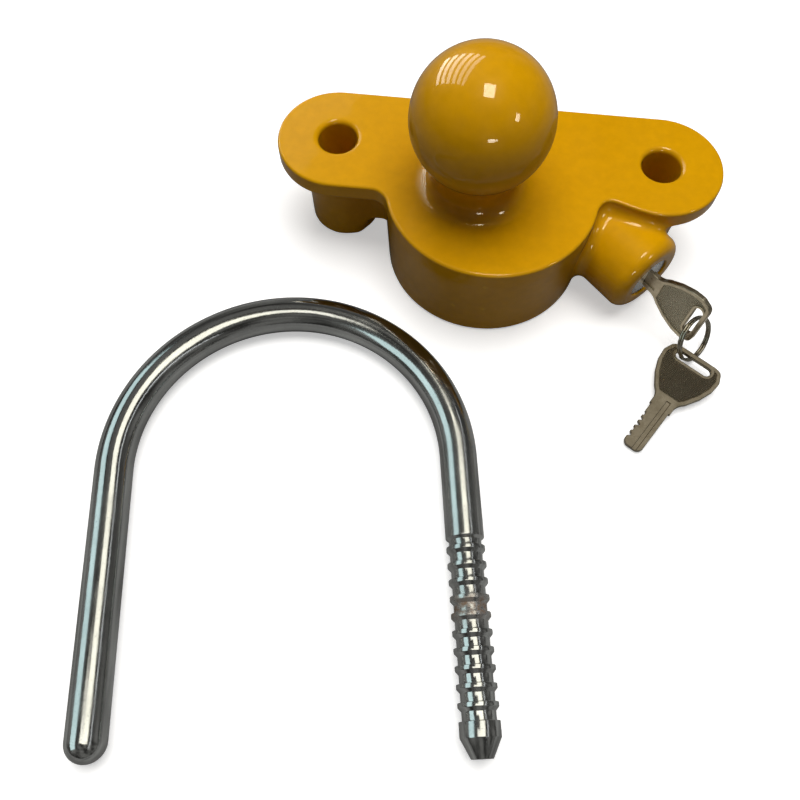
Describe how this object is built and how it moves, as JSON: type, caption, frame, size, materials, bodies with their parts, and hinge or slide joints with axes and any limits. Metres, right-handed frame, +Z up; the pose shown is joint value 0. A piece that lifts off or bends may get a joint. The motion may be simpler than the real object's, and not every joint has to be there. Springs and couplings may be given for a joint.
{
  "type": "trailer coupler lock",
  "caption": "Enamelled ball casting with a key lock, a loose U shackle with a ratchet leg and keys on a ring, to block a trailer coupler.",
  "frame": {"origin": "on the floor, straight under the centre of the ball", "axes": "+X along the line of the two shackle bores toward the lock side, +Y toward the plate's straight back edge, +Z up along the ball's axis"},
  "size_m": [0.2145, 0.2378, 0.0928],
  "materials": {
    "enamel": "thick glossy golden yellow enamel over a cast surface",
    "shackle_chrome": "bright chrome plate with fine pitting",
    "lock_steel": "plain zinc plated steel",
    "face_steel": "bright stainless cap",
    "lock_brass": "machined brass",
    "spring_steel": "drawn spring wire",
    "seal_rubber": "black nitrile rubber",
    "key_nickel": "stamped nickel silver, fine crosshatch on the bow",
    "ring_steel": "polished split ring wire"
  },
  "bodies": {
    "casting": {"body_casting": "enamel", "lock_shell": "lock_steel", "lock_face_cap": "face_steel", "shell_retaining_pin": "lock_steel", "shell_o_ring": "seal_rubber", "bolt_spring": "spring_steel", "bolt_bore_plug": "lock_steel"},
    "lock_core": {"lock_plug": "lock_brass", "wafer_tumblers": "lock_brass", "wafer_springs": "spring_steel", "tail_driver": "lock_steel", "plug_retaining_clip": "spring_steel"},
    "bolt": {"locking_bolt": "lock_steel"},
    "key": {"inserted_key": "key_nickel"},
    "ring": {"key_ring": "ring_steel"},
    "loose_key": {"spare_key": "key_nickel"},
    "bow_shackle": {"shackle": "shackle_chrome"}
  },
  "joints": [
    {"name": "key_turn", "type": "hinge", "parent": "casting", "child": "lock_core", "pos_m": [0.06689, -0.01904, 0.017], "axis": [-0.7071, 0.7071, 0], "range_deg": [0, 90]},
    {"name": "bolt_slide", "type": "slide", "parent": "casting", "child": "bolt", "axis": [0.7071, 0.7071, 0], "range_m": [0, 0.00202]},
    {"name": "key_withdraw", "type": "slide", "parent": "lock_core", "child": "key", "axis": [0.7071, -0.7071, 0], "range_m": [0, 0.03]},
    {"name": "ring_swing", "type": "hinge", "parent": "key", "child": "ring", "pos_m": [0.0844, -0.03654, 0.017], "axis": [0.0739, 0.0739, 0.9945], "range_deg": [-8, 8]},
    {"name": "spare_key_swing", "type": "hinge", "parent": "ring", "child": "loose_key", "pos_m": [0.0871, -0.04374, 0.00474], "axis": [-0.8396, 0.5432, 0], "range_deg": [0, 9]},
    {"name": "shackle_stand", "type": "hinge", "parent": "casting", "child": "bow_shackle", "pos_m": [-0.03916, -0.19492, 0], "axis": [0.9877, 0.1564, 0], "range_deg": [0, 90]}
  ],
  "couplings": [
    {"joint": "bolt_slide", "follows": "key_turn", "m_per_rad": 0.001273}
  ]
}
